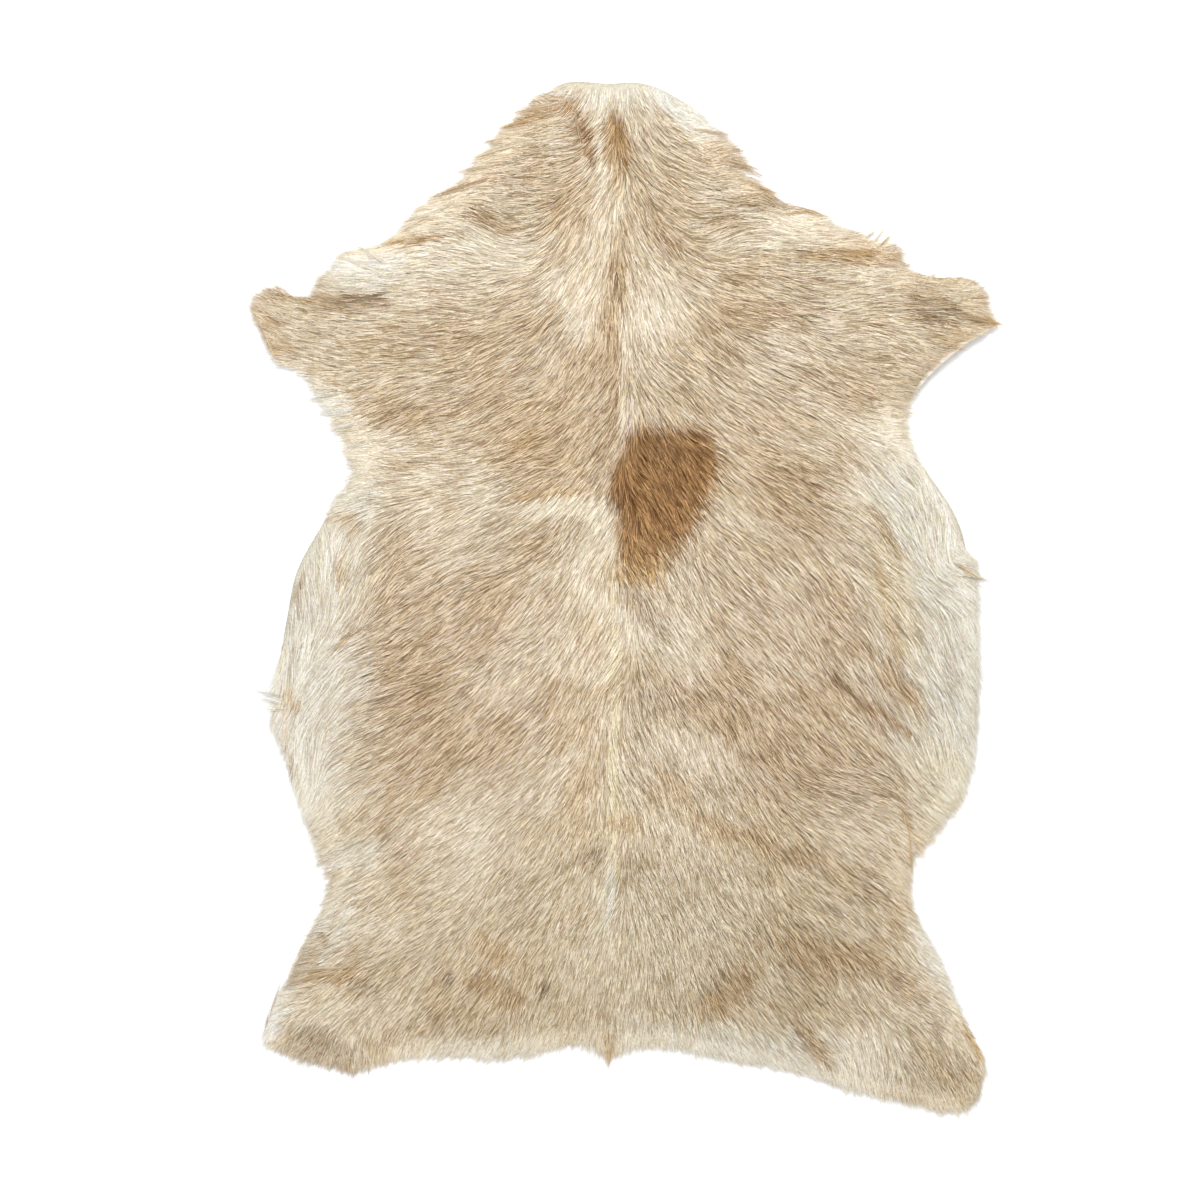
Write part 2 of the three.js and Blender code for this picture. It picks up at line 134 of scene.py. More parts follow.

# Patches of colour, laid over each other in this order. Each is a soft oval: its middle, half its
# length and half its width, the direction of its length, its colour and how fully it covers.
# Besides the hair's own colours, some patches are painted shade and some painted light, as said beside
# them.
PATCHES = [
    ("left of the shoulders", -90, 190, 110, 90, 0, "rose", 0.32),
    ("left foreleg", -225, 210, 90, 60, -20, "khaki", 0.15),
    ("left of the back", -70, 130, 60, 44, 0, "orange", 0.3),
    ("right of the shoulders", 150, 180, 140, 80, 0, "rose", 0.22),
    ("left loin", -155, -70, 130, 110, 0, "rose", 0.6),
    ("pink streaks on the left loin", -190, -72, 46, 26, 25, "tan", 0.35),
    ("right loin", 130, -60, 130, 120, 0, "rose", 0.5),
    ("right loin, low", 150, -130, 80, 50, -30, "tan", 0.3),
    ("rump", 0, -310, 240, 90, 0, "khaki", 0.45),
    ("rump, left", -150, -300, 110, 60, -10, "beige", 0.3),
    # Painted shade beside the raised left shoulder band.
    ("under the left shoulder band", -116, 324, 34, 12, -30, "tan", 0.7),
    ("left shoulder, low", -200, 225, 60, 16, 0, "tan", 0.15),
    ("beige tan on the right", 114, 246, 46, 13, 0, "tan", 0.3),
    ("tan on the right shoulder", 172, 184, 50, 17, -20, "tan", 0.3),
    ("streaks on the right", 138, 92, 60, 22, -30, "tan", 0.5),
    ("streaks on the left shoulder", -196, 161, 46, 14, 0, "tan", 0.5),
    ("neck, left side", -70, 395, 40, 26, -10, "tan", 0.4),
    ("neck, right side", 52, 366, 30, 20, -50, "orange", 0.15),
    ("throat, right", 30, 320, 22, 46, 20, "tan", 0.45),
    ("throat, left", -52, 330, 20, 44, -20, "tan", 0.4),
    ("neck cut", -14, 447, 76, 18, 0, "pale", 0.75),
    ("middle of the neck cut", -14, 435, 34, 10, 0, "pale", 0.4),
    ("right neck lobe", 52, 424, 42, 15, -38, "white", 0.8),
    ("ridge between the neck lines", -22, 375, 46, 9, 80, "cream", 0.9),
    ("left flank rim", -292, -60, 195, 34, 88, "white", 0.7),
    ("left flank", -272, -40, 190, 44, 88, "pale", 0.75),
    ("left flank top", -262, 62, 72, 32, 62, "pale", 0.8),
    ("right flank rim", 298, -40, 215, 40, -88, "white", 0.7),
    ("right flank", 272, -20, 215, 52, -86, "pale", 0.9),
    ("right flank top", 252, 72, 84, 40, -56, "pale", 0.9),
    ("right flank, yellow", 238, -4, 54, 17, -80, "yellow", 0.5),
    ("right flank, warm", 232, 14, 78, 15, -70, "orange", 0.22),
    ("right flank, grey", 292, -84, 60, 17, -86, "mist", 0.5),
    ("right flank, grey low", 285, -142, 56, 16, -74, "mist", 0.5),
    ("right flank, orange wisps", 222, 18, 30, 3.4, -78, "orange", 0.4),
    ("right hind leg, orange wisps", 246, -196, 28, 3, -74, "orange", 0.5),
    ("left flank, grey", -286, -26, 44, 12, 80, "mist", 0.8),
    ("right flank, low", 276, -160, 72, 28, -72, "yellow", 0.4),
    ("left flank, upper tan spot", -246, 63, 16, 7, -50, "orange", 0.45),
    ("left flank, tan spot", -250, 22, 15, 6, -70, "orange", 0.5),
    ("left flank, low tan spot", -292, -92, 15, 7, -75, "orange", 0.6),
    # Painted shade in a small crease of the left flank.
    ("left flank, crease", -245, -36, 15, 2.2, 40, "tan", 0.8),
    # Painted shadow at the skin's edge, where the white hair parts at the rim.
    ("left flank, gap in the rim", -287, 4, 12, 3, 62, "grey", 0.7),
    ("left flank, low gap in the rim", -297, -133, 26, 3.6, -66, "grey", 0.6),
    ("right flank, upper orange wisps", 224, 58, 40, 6, -52, "orange", 0.35),
    ("right flank, low orange wisps", 232, -34, 34, 6, -68, "orange", 0.4),
    # Pale hair on the raised left shoulder band, made paler by painted light.
    ("left shoulder band", -150, 297, 80, 14, 6, "cream", 0.95),
    ("over the left foreleg", -232, 288, 36, 11, 8, "white", 0.7),
    # Pale hair on the raised right shoulder band, made paler by painted light.
    ("right shoulder band", 128, 318, 56, 15, 8, "cream", 0.95),
    ("whorl left of the spine", -42, 250, 34, 19, -64, "cream", 0.8),
    ("whorl right of the spine", 22, 244, 30, 17, 66, "cream", 0.85),
    ("left foreleg, rear", -274, 180, 42, 13, -52, "white", 0.6),
    ("left armpit", -240, 132, 50, 16, -10, "cream", 0.8),
    ("right armpit", 228, 142, 42, 22, -20, "cream", 0.8),
    ("left of the patch", -60, 76, 46, 12, 0, "cream", 0.9),
    ("right of the patch's foot", 30, -30, 60, 26, -20, "cream", 0.8),
    ("left loin, light", -90, -60, 50, 26, 35, "cream", 0.35),
    ("right loin, light", 50, -134, 44, 20, -34, "cream", 0.65),
    ("left thigh, light", -150, -190, 70, 26, 40, "cream", 0.35),
    ("behind the left flank", -238, -224, 34, 16, 10, "pale", 0.8),
    ("left thigh's rim", -262, -285, 44, 20, 66, "pale", 0.8),
    ("rump edge, right", 130, -392, 130, 20, -8, "pale", 0.75),
    ("right hind leg's rear", 205, -395, 60, 22, -18, "cream", 0.7),
    ("rump edge, left", -110, -394, 130, 15, 2, "pale", 0.65),
    ("right hind leg's rim", 268, -312, 44, 10, -60, "pale", 0.9),
    ("shade under the left foreleg's fold", -246, 256, 34, 7, 3, "grey", 0.9),
    # Painted shade: the dark line deep in the fold over the left foreleg.
    ("dark of the fold", -220, 263, 14, 2.2, 16, "dark", 0.8),
    ("edge of the fold", -276, 258, 16, 2, 4, "tan", 0.8),
    ("over the fold", -234, 274, 26, 8, 10, "pale", 0.8),
    ("white in the fold", -286, 266, 16, 4, -10, "white", 0.9),
    ("right neck shade", 112, 344, 34, 7, -10, "grey", 0.6),
    ("under the right neck", 84, 326, 40, 9, -14, "tan", 0.5),
    ("right shoulder shade", 192, 299, 44, 8, -6, "tan", 0.9),
    ("right foreleg shade", 268, 254, 34, 11, -10, "grey", 0.7),
    ("right foreleg band", 276, 204, 40, 6, 40, "tan", 0.9),
    ("under the right foreleg", 250, 158, 24, 8, -70, "orange", 0.35),
    ("right toe", 314, 240, 13, 5, -20, "orange", 0.9),
    ("left foreleg's rim", -305, 228, 34, 5, -62, "tan", 0.9),
    ("left toe", -306, 262, 13, 7, 30, "tan", 0.8),
    ("below the right flank streak", 204, -112, 30, 10, -35, "beige", 0.8),
    ("right flank patch", 241, -79, 34, 11, -62, "tan", 0.8),
    ("right flank streak, low", 238, -114, 20, 2.6, -38, "brown", 0.4),
    ("right flank streak", 214, -97, 36, 3, -37, "brown", 0.65),
    # Painted shade in the crease of the right flank.
    ("right flank crease", 190, -75, 24, 3.8, -38, "grey", 0.9),
    ("right thigh, upper", 140, -222, 44, 13, -20, "tan", 0.6),
    ("right thigh", 172, -314, 62, 15, -14, "tan", 0.65),
    ("right thigh, outer", 236, -328, 34, 12, -35, "tan", 0.5),
    ("right rump patch", 86, -338, 34, 15, 28, "tan", 0.75),
    ("right rump patch, dark", 78, -332, 22, 6, 35, "grey", 0.5),
    ("right rump fleck", 163, -386, 24, 8, -50, "tan", 0.7),
    ("left thigh", -254, -326, 28, 8, 0, "orange", 0.55),
    ("under the left thigh", -228, -338, 18, 6, -20, "grey", 0.4),
    ("left rump", -118, -304, 30, 10, -12, "orange", 0.4),
    ("left rump, low", -118, -338, 34, 10, -22, "tan", 0.8),
    ("left thigh's edge", -263, -292, 40, 3, 62, "tan", 0.6),
    ("left hind foot", -264, -394, 46, 17, -15, "grey", 0.6),
    ("left hind foot, white", -301, -358, 34, 6, 70, "white", 0.9),
    ("right hind leg", 256, -392, 62, 26, -36, "khaki", 0.3),
    ("right hind foot", 290, -422, 28, 14, -50, "khaki", 0.4),
    ("right hind foot, warm", 264, -400, 36, 9, -60, "orange", 0.2),
    ("right hind foot's rim", 301, -385, 26, 3.2, -64, "orange", 0.7),
    ("orange line of the left shoulder", -182, 311, 30, 3, 4, "orange", 0.6),
    ("left ridge of the neck", -36, 394, 32, 3.6, -74, "brown", 1.0),
    ("crest of the neck", -8, 394, 34, 13, -78, "tan", 0.9),
    ("crest of the neck, middle", -6, 402, 20, 6, -80, "brown", 0.55),
    ("crest of the neck, golden", -8, 392, 32, 10, -78, "orange", 0.28),
    ("left neck tuft", -70, 421, 32, 6, 20, "tan", 0.9),
    ("dark waves of the left neck", -58, 433, 22, 3, -6, "brown", 0.7),
    ("dark waves of the left neck, low", -56, 421, 20, 3.4, -24, "brown", 0.8),
    ("spine of the shoulders", -18, 172, 60, 12, 88, "tan", 0.45),
    ("spine line", -11, 170, 44, 3, 90, "brown", 0.3),
    ("spine of the neck", -11, 256, 64, 8, 90, "tan", 0.65),
    ("grey under the patch", 20, -17, 30, 12, -50, "grey", 0.45),
    ("foot of the brown patch", 17, 24, 27, 9, 4, "orange", 0.75),
    ("grey left of the patch", -24, 110, 12, 40, 10, "grey", 0.35),
    ("dorsal stripe", -12, -116, 150, 3.8, 90, "yellow", 0.92),
    ("dorsal stripe, middle", -12, -148, 36, 4.6, 91, "yellow", 0.95),
    ("dark beside the stripe, left", -32, -222, 22, 8, 20, "grey", 0.55),
    ("dark beside the stripe, right", 10, -236, 20, 13, 60, "grey", 0.25),
    ("dorsal stripe, low", -14, -258, 34, 5.4, 88, "pale", 0.8),
    # Darker lines along creases in the hide: painted shade of the creases.
    ("crease over the back", -62, 90, 44, 3.6, 1, "orange", 0.6),
    ("crease over the loin", -38, -80, 34, 4, -6, "orange", 0.4),
    ("knot on the loin", -4, -194, 20, 8, 0, "orange", 0.45),
    ("warm flecks on the loin", 76, -198, 36, 10, -30, "orange", 0.4),
    ("tail", -16, -392, 14, 9, 90, "orange", 0.5),
    ("dark fleck", -73, -336, 5.5, 3.4, -30, "dark", 1.0),
    ("small dark fleck", -156, -329, 4.5, 3.2, -50, "dark", 0.9),
]

# The brown patch beside the spine: its rim, clockwise, and how soft the rim is
BROWN_RIM = [
    (12, 150), (42, 151), (72, 150), (79, 128), (80, 105), (72, 85), (65, 66), (54, 50), (47, 32), (14, 28),
    (-5, 31), (-8, 46), (-12, 65), (-18, 84), (-13, 109), (-4, 130), (0, 143),
]
BROWN_SOFT = 12.0

# Places along the rim where the coat stops short of the outline: middle, half length, half width, turn,
# and by how much. Bare skin shows in the first list, and only the tufts reach into the second.
BARE = [
    (-284, -306, 40, 12, 64, 2.5),
    (286, 208, 58, 18, 39, 6),
]
LIP = 9.5  # how far the skin's edge turns up where it is bare
LIP_WIDTH = 10.0  # of the strip that turns up
WISPY = [
    (222, 324, 26, 22, 10, 20), (-316, -82, 24, 16, 0, 16), (314, 11, 16, 16, 0, 10),
    (-266, 306, 34, 24, 30, 14), (112, 376, 60, 22, -44, 9), (-148, 378, 64, 24, 42, 11),
    (-96, 424, 30, 16, 40, 7), (-20, -408, 16, 14, 0, 5), (-262, 168, 62, 22, -54, 12),
    (-272, -262, 60, 14, 64, 7), (60, -410, 160, 18, -4, 6), (-150, -404, 120, 16, 2, 6),
    (-232, 96, 40, 16, -50, 7), (196, 330, 40, 16, -20, 8), (300, -430, 40, 18, 50, 5),
    (-275, -398, 50, 14, -16, 5),
]

# Tufts that stand out past the rim: where they grow, where their tips meet, their width and colour
TUFTS = [
    (-58, 430, -102, 420, 6, "tan"), (-62, 422, -100, 414, 4, "tan"), (-80, 416, -113, 407, 8, "tan"),
    (-96, 394, -139, 381, 7, "beige"), (-104, 398, -128, 396, 5, "tan"), (-134, 358, -178, 346, 7, "tan"),
    (-128, 362, -170, 349, 3, "brown"), (-118, 376, -153, 369, 6, "beige"),
    (-160, 338, -200, 325, 8, "cream"), (-170, 330, -196, 318, 6, "tan"), (60, 407, 93, 402, 6, "tan"),
    (84, 379, 117, 372, 7, "tan"), (72, 403, 90, 399, 2, "brown"), (102, 362, 135, 350, 6, "tan"),
    (134, 333, 160, 336, 4, "orange"), (152, 337, 178, 330, 4, "orange"), (104, 372, 124, 363, 2, "brown"),
    (-44, 414, -37, 384, 4, "brown"), (194, 300, 231, 299, 8, "orange"), (214, 310, 227, 326, 2, "cream"),
    (219, 306, 231, 318, 2.4, "tan"), (204, 312, 218, 320, 2.4, "cream"), (226, 300, 243, 303, 2, "cream"),
    (232, 292, 250, 288, 2, "cream"), (222, 304, 236, 310, 2, "pale"), (300, 264, 317, 267, 3, "beige"),
    (300, 257, 318, 256, 3, "tan"), (302, 250, 319, 246, 3, "beige"), (300, 261, 315, 261, 2, "brown"),
    (256, 273, 270, 284, 3, "beige"), (266, 269, 282, 282, 3, "beige"), (276, 268, 293, 281, 3, "beige"),
    (286, 266, 303, 278, 3, "beige"), (296, 262, 311, 271, 3, "beige"), (294, 244, 328, 237, 7, "tan"),
    (270, 268, 300, 270, 4, "beige"), (-212, 292, -240, 311, 5, "cream"),
    (-220, 286, -256, 299, 6, "cream"), (-226, 278, -262, 280, 6, "cream"),
    (-296, 266, -309, 273, 3, "tan"), (-290, 250, -321, 256, 12, "beige"),
    (-252, 178, -282, 172, 5, "white"), (-240, 166, -272, 160, 5, "white"),
    (-232, 152, -262, 146, 5, "white"), (-222, 136, -250, 129, 5, "white"), (286, 30, 306, 17, 6, "orange"),
    (292, 20, 320, 15, 3, "grey"), (-302, -84, -331, -77, 3, "white"), (-301, -90, -325, -84, 2, "white"),
    (-300, -96, -314, -96, 3, "pale"), (-270, -170, -281, -196, 6, "pale"),
    (-306, -350, -318, -388, 2.2, "brown"), (-308, -352, -315, -374, 1.8, "dark"),
    (-14, -380, -17, -409, 7, "tan"), (300, 241, 276, 217, 3.4, "orange"), (286, 229, 262, 204, 3.4, "tan"),
    (268, 211, 250, 188, 3.4, "orange"), (-323, 248, -312, 222, 2.6, "tan"),
    (-314, 228, -303, 206, 2.6, "orange"), (-320, 242, -308, 214, 1, "brown"),
    (292, 234, 268, 211, 2, "brown"), (-250, -322, -297, -333, 6, "tan"),
    (-252, -318, -290, -322, 4, "beige"), (238, -182, 246, -214, 2.4, "orange"),
    (244, -206, 248, -244, 2, "tan"), (300, 66, 308, 30, 1.6, "brown"),
]
SIDE = 97  # of the table behind a smooth random number


def rgb(name):
    """A palette colour as linear light."""
    text = PALETTE[name].lstrip("#")
    levels = np.array([int(text[i : i + 2], 16) for i in (0, 2, 4)]) / 255
    return np.where(levels < 0.04045, levels / 12.92, ((levels + 0.055) / 1.055) ** 2.4)


def blended(colour, name, share):
    """A colour with a share of a palette colour in it."""
    return colour * (1 - share) + rgb(name) * share


def between(table, i, j, right, up, s, t):
    """A table's value at shares s and t of the way from (i, j) to (right, up)."""
    low = table[i, j] * (1 - s) + table[right, j] * s
    high = table[i, up] * (1 - s) + table[right, up] * s
    return low * (1 - t) + high * t


def roll(x, y, size, seed):
    """A smooth random number from 0 to 1 at each place, with lumps of about the given size."""
    table = np.random.default_rng(seed).random((SIDE, SIDE))
    u, v = x / size + 500, y / size + 500
    i, j = np.floor(u).astype(int), np.floor(v).astype(int)
    s, t = u - i, v - j
    s, t = s * s * (3 - 2 * s), t * t * (3 - 2 * t)
    return between(table, i % SIDE, j % SIDE, (i + 1) % SIDE, (j + 1) % SIDE, s, t)


def two_rolls(x, y, coarse, fine, seed):
    """A smooth random number with coarse and fine lumps."""
    return roll(x, y, coarse, seed) * 0.6 + roll(x, y, fine, seed + 1) * 0.4


def oval(x, y, middle_x, middle_y, long, wide, turn):
    """1 in the middle of an oval, falling smoothly to 0 at its rim."""
    c, s = math.cos(math.radians(turn)), math.sin(math.radians(turn))
    along = (x - middle_x) * c + (y - middle_y) * s
    across = (y - middle_y) * c - (x - middle_x) * s
    reach = (along / long) ** 2 + (across / wide) ** 2
    return np.where(reach < 1, (1 - np.minimum(reach, 1)) ** 2, 0)


def polygon_distance(x, y, rim):
    """How far each place lies from a closed rim of points: above 0 inside it, and below 0 outside."""
    nearest = np.full(x.shape, np.inf)
    inside = np.zeros(x.shape, bool)
    for (ax, ay), (bx, by) in zip(rim, np.roll(rim, -1, axis=0)):
        run_x, run_y = bx - ax, by - ay
        share = ((x - ax) * run_x + (y - ay) * run_y) / (run_x**2 + run_y**2 + 1e-12)
        share = np.clip(share, 0, 1)
        nearest = np.minimum(nearest, np.hypot(x - ax - share * run_x, y - ay - share * run_y))
        crosses = (ay > y) != (by > y)
        edge_x = ax + (y - ay) * run_x / (run_y if run_y else 1e-12)
        inside ^= crosses & (x < edge_x)
    return np.where(inside, nearest, -nearest)


# The solid: its mesh in millimetres, its rim, and its heights on a net

def solid_mesh():
    """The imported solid's points, with near ones merged, and its triangles."""
    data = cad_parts[NODE].data
    data.calc_loop_triangles()
    co = np.empty(len(data.vertices) * 3)
    data.vertices.foreach_get("co", co)
    tri = np.empty(len(data.loop_triangles) * 3, int)
    data.loop_triangles.foreach_get("vertices", tri)
    points, place = np.unique(np.round(co.reshape(-1, 3) / MM, 3), axis=0, return_inverse=True)
    tri = place.ravel()[tri].reshape(-1, 3)
    whole = (tri[:, 0] != tri[:, 1]) & (tri[:, 1] != tri[:, 2]) & (tri[:, 2] != tri[:, 0])
    return points, tri[whole]


def rim_loop(points, tri):
    """The outline in plan, in order: the edges between the underside and the wall."""
    a, b, c = (points[tri[:, k]] for k in range(3))
    normal = np.cross(b - a, c - a)
    down = tri[normal[:, 2] < -0.3 * np.linalg.norm(normal, axis=1)]
    edges = {(t[k], t[(k + 1) % 3]) for t in down.tolist() for k in range(3)}
    after = {p: q for p, q in edges if (q, p) not in edges}
    loops = []
    while after:
        start, at = after.popitem()
        loop = [start]
        while at != start and at in after:
            loop.append(at)
            at = after.pop(at)
        loops.append(loop)
    return points[max(loops, key=len)][:, :2]


POINTS, TRIANGLES = solid_mesh()
RIM = rim_loop(POINTS, TRIANGLES)


class Ground:
    """Heights of the solid's underside and top, and the distance to its rim, on a net."""

    def __init__(self):
        low, high = POINTS.min(axis=0)[:2] - 40, POINTS.max(axis=0)[:2] + 40
        self.low = low
        self.shape = tuple(np.ceil((high - low) / GROUND_STEP).astype(int) + 1)
        sides = [low[k] + GROUND_STEP * np.arange(self.shape[k]) for k in range(2)]
        x, y = np.meshgrid(*sides, indexing="ij")
        self.x, self.y = x, y
        self.rim = polygon_distance(x, y, RIM)
        tree = BVHTree.FromPolygons(POINTS.tolist(), TRIANGLES.tolist())
        top, under = np.full(x.shape, np.nan), np.full(x.shape, np.nan)
        for i, j in zip(*np.nonzero(self.rim > -GROUND_STEP)):
            above = tree.ray_cast(Vector((x[i, j], y[i, j], 500)), Vector((0, 0, -1)))[0]
            below = tree.ray_cast(Vector((x[i, j], y[i, j], -500)), Vector((0, 0, 1)))[0]
            if above is not None and below is not None:
                top[i, j], under[i, j] = above.z, below.z
        self.top, self.under = self.spread(top), self.spread(under)

    @staticmethod
    def spread(values):
        """Fills the places that the solid doesn't reach with the mean of their known neighbours."""
        while np.isnan(values).any():
            padded = np.pad(values, 1, constant_values=np.nan)
            around = np.stack([padded[1 + i : padded.shape[0] - 1 + i, 1 + j : padded.shape[1] - 1 + j]
                               for i in (-1, 0, 1) for j in (-1, 0, 1)])
            known = ~np.isnan(around)
            total = np.where(known, around, 0).sum(axis=0)
            count = known.sum(axis=0)
            fill = np.isnan(values) & (count > 0)
            values = np.where(fill, total / np.maximum(count, 1), values)
        return values

    def read(self, net, x, y):
        u = np.clip((x - self.low[0]) / GROUND_STEP, 0, self.shape[0] - 1.001)
        v = np.clip((y - self.low[1]) / GROUND_STEP, 0, self.shape[1] - 1.001)
        i, j = u.astype(int), v.astype(int)
        s, t = u - i, v - j
        return between(net, i, j, i + 1, j + 1, s, t)


ground = Ground()


def near_mean(x, y, rows, values, reach):
    """The rows' values at each place, the nearest rows counting most."""
    rows = np.array(rows, float)
    total = np.zeros((len(values[0]),) + x.shape)
    weights = np.zeros(x.shape)
    for (row_x, row_y), row in zip(rows, values):
        weight = 1 / ((x - row_x) ** 2 + (y - row_y) ** 2 + reach**2) ** 2
        weights += weight
        for k, value in enumerate(row):
            total[k] += weight * value
    return total / weights


net_x, net_y = ground.x, ground.y
flow_turns = [math.radians(row[2]) for row in FLOW]
flow_x, flow_y = near_mean(
    net_x, net_y, [row[:2] for row in FLOW], [(math.cos(t), math.sin(t)) for t in flow_turns], 6
)
hair_length, hair_width = near_mean(net_x, net_y, [row[:2] for row in HAIR], [row[2:] for row in HAIR], 30)


def flow(x, y):
    return np.arctan2(ground.read(flow_y, x, y), ground.read(flow_x, x, y))


def smoothed(loop, passes):
    """A closed loop of points, evenly spaced, with its small teeth and notches taken off."""
    closed = np.vstack([loop, loop[:1]])
    run = np.concatenate([[0], np.cumsum(np.hypot(*np.diff(closed, axis=0).T))])
    at = np.linspace(0, run[-1], int(run[-1] / LOOP_STEP), endpoint=False)
    points = np.stack([np.interp(at, run, closed[:, k]) for k in range(2)], axis=1)
    for _ in range(passes):
        points = 0.25 * np.roll(points, 1, axis=0) + 0.5 * points + 0.25 * np.roll(points, -1, axis=0)
    return points


def bare_depth(x, y):
    """How wide a strip of bare skin shows along the rim near each place."""
    return sum(depth * np.minimum(1, 2.2 * oval(x, y, *place)) for *place, depth in BARE)


def wispiness(x, y):
    """How wide the strip is, near each place, in which the coat thins out to single wisps."""
    return sum(depth * np.minimum(1, 2.2 * oval(x, y, *place)) for *place, depth in WISPY)


def covered(x, y):
    """How far each place lies inside the rim of the full coat."""
    return polygon_distance(x, y, smoothed(RIM, COAT_SMOOTHING)) - bare_depth(x, y) - wispiness(x, y)


coat_net = covered(net_x, net_y)


# The hair's colour

def coat_colour(x, y):
    """The colour of the hair that grows at each place, with the painted shade and painted light of some
    patches.
    """
    stray_x, stray_y = (
        22 * (roll(x, y, 34, seed) - 0.5) + 9 * (roll(x, y, 11, seed + 1) - 0.5) for seed in (11, 13)
    )
    light = np.clip(0.5 + 1.5 * (two_rolls(x, y, 70, 22, 15) - 0.5), 0, 1)[:, None]
    colour = blended(rgb("beige"), "cream", light)
    for name, coarse, fine, seed in (("orange", 40, 13, 17), ("grey", 52, 15, 19)):
        share = np.clip(2.4 * (two_rolls(x, y, coarse, fine, seed) - 0.55), 0, 1)[:, None]
        colour = blended(colour, name, 0.4 * share)
    mottle = 0.55 + 0.9 * roll(x, y, 7, 21)
    for _, middle_x, middle_y, long, wide, turn, name, cover in PATCHES:
        stray = min(1, wide / 20)
        at_x, at_y = x + stray * stray_x, y + stray * stray_y
        share = oval(at_x, at_y, middle_x, middle_y, long * 1.3, wide * 1.5, turn)
        colour = blended(colour, name, np.clip(cover * 1.6 * share * mottle, 0, cover)[:, None])
    brown = polygon_distance(x + 0.4 * stray_x, y + 0.4 * stray_y, np.array(BROWN_RIM, float))
    share = np.clip(0.5 + brown / BROWN_SOFT, 0, 1)
    deep = np.clip(0.6 * oval(x, y, 30, 130, 58, 34, 0) + 0.7 * oval(x, y, -6, 80, 40, 20, 80), 0, 1)
    edge = np.clip(1 - brown / 14, 0, 1) * 0.45 + 0.7 * np.clip((74 - y) / 50, 0, 1) ** 1.5
    golden = np.clip(np.maximum((x - 46) / 24, (62 - y) / 40), 0, 1)[:, None]
    rim_colour = blended(rgb("tan"), "orange", golden)
    patch = rgb("brown") * (1 - 0.65 * edge[:, None]) + rim_colour * 0.65 * edge[:, None]
    patch = blended(patch, "dark", 0.45 * deep[:, None])
    return colour * (1 - share[:, None]) + patch * share[:, None]


def liveliness(colour):
    """How much the strands differ from each other: much in dark hair, and little in pale hair."""
    mean = colour.mean(axis=1)
    return np.clip(2 - 2.05 * mean + 2.2 * np.maximum(0.36 - mean, 0), 0.28, 1.8)


def toned(colour, tone):
    """A colour made lighter or darker. The darker it is, the browner."""
    return np.clip(colour * tone[:, None] ** np.array([0.85, 1.02, 1.35]), 0, 0.97)


# Meshes

def new_piece(name, points, triangles, material):
    mesh = bpy.data.meshes.new(name)
    mesh.vertices.add(len(points))
    mesh.vertices.foreach_set("co", (points * MM).ravel())
    mesh.loops.add(triangles.size)
    mesh.loops.foreach_set("vertex_index", triangles.ravel())
    mesh.polygons.add(len(triangles))
    mesh.polygons.foreach_set("loop_start", np.arange(0, triangles.size, 3))
    mesh.polygons.foreach_set("use_smooth", np.ones(len(triangles), bool))
    mesh.update(calc_edges=True)
    mesh.materials.append(material)
    piece = bpy.data.objects.new(name, mesh)
    bpy.context.scene.collection.objects.link(piece)
    return piece


def add_colour(piece, name, colours):
    layer = piece.data.color_attributes.new(name, "FLOAT_COLOR", "POINT")
    rgba = np.ones((len(colours), 4))
    rgba[:, :3] = colours
    layer.data.foreach_set("color", rgba.ravel())


def add_map(piece, corners):
    """The map that a bake of the piece's colours would use, one place for each corner."""
    layer = piece.data.uv_layers.new(name="OFBake")
    layer.uv.foreach_set("vector", corners.ravel())


# Materials

def node_material(name):
    material = bpy.data.materials.new(name)
    material.use_nodes = True
    shader = material.node_tree.nodes["Principled BSDF"]
    return material, material.node_tree, shader


def set_sockets(node, **values):
    """Sets sockets of a node to constants. A socket's name has _ for each space here."""
    for name, value in values.items():
        node.inputs[name.replace("_", " ")].default_value = value


def noise_node(tree, scale, detail):
    place = tree.nodes.new("ShaderNodeTexCoord")
    noise = tree.nodes.new("ShaderNodeTexNoise")
    set_sockets(noise, Scale=scale, Detail=detail)
    tree.links.new(place.outputs["Object"], noise.inputs["Vector"])
    return noise.outputs["Fac"]


def noise_ramp(tree, scale, detail, *stops):
    """Colours from the first stop to the second, by a noise."""
    ramp = tree.nodes.new("ShaderNodeValToRGB")
    for element, (place, colour) in zip(ramp.color_ramp.elements, stops):
        element.position = place
        element.color = (*colour, 1)
    tree.links.new(noise_node(tree, scale, detail), ramp.inputs["Fac"])
    return ramp.outputs["Color"]


def coat_layer(tree):
    """The colour that each point of the coat carries."""
    colour = tree.nodes.new("ShaderNodeVertexColor")
    colour.layer_name = "coat"
    return colour.outputs["Color"]


def set_base(tree, shader, first, second):
    """Makes the product of two colours the shader's base colour."""
    mix = tree.nodes.new("ShaderNodeMix")
    mix.data_type = "RGBA"
    mix.blend_type = "MULTIPLY"
    mix.inputs["Factor"].default_value = 1
    tree.links.new(first, mix.inputs["A"])
    tree.links.new(second, mix.inputs["B"])
    tree.links.new(mix.outputs["Result"], shader.inputs["Base Color"])


def bumped(tree, shader, height, strength, distance):
    bump = tree.nodes.new("ShaderNodeBump")
    set_sockets(bump, Strength=strength, Distance=distance)
    tree.links.new(height, bump.inputs["Height"])
    tree.links.new(bump.outputs["Normal"], shader.inputs["Normal"])


def hair_material():
    """Dry, softly shining hair. Its colour comes from each strand, with fine bands along it."""
    material, tree, shader = node_material("goat_hair")
    bands = noise_ramp(tree, 420, 2, (0.3, (0.86, 0.84, 0.81)), (0.7, (1, 1, 1)))
    set_base(tree, shader, coat_layer(tree), bands)
    dull = noise_ramp(tree, 60, 3, (0.3, (0.5,) * 3), (0.7, (0.72,) * 3))
    tree.links.new(dull, shader.inputs["Roughness"])
    set_sockets(shader, Specular_IOR_Level=0.35, Sheen_Weight=0.06, Sheen_Roughness=0.4)
    return material


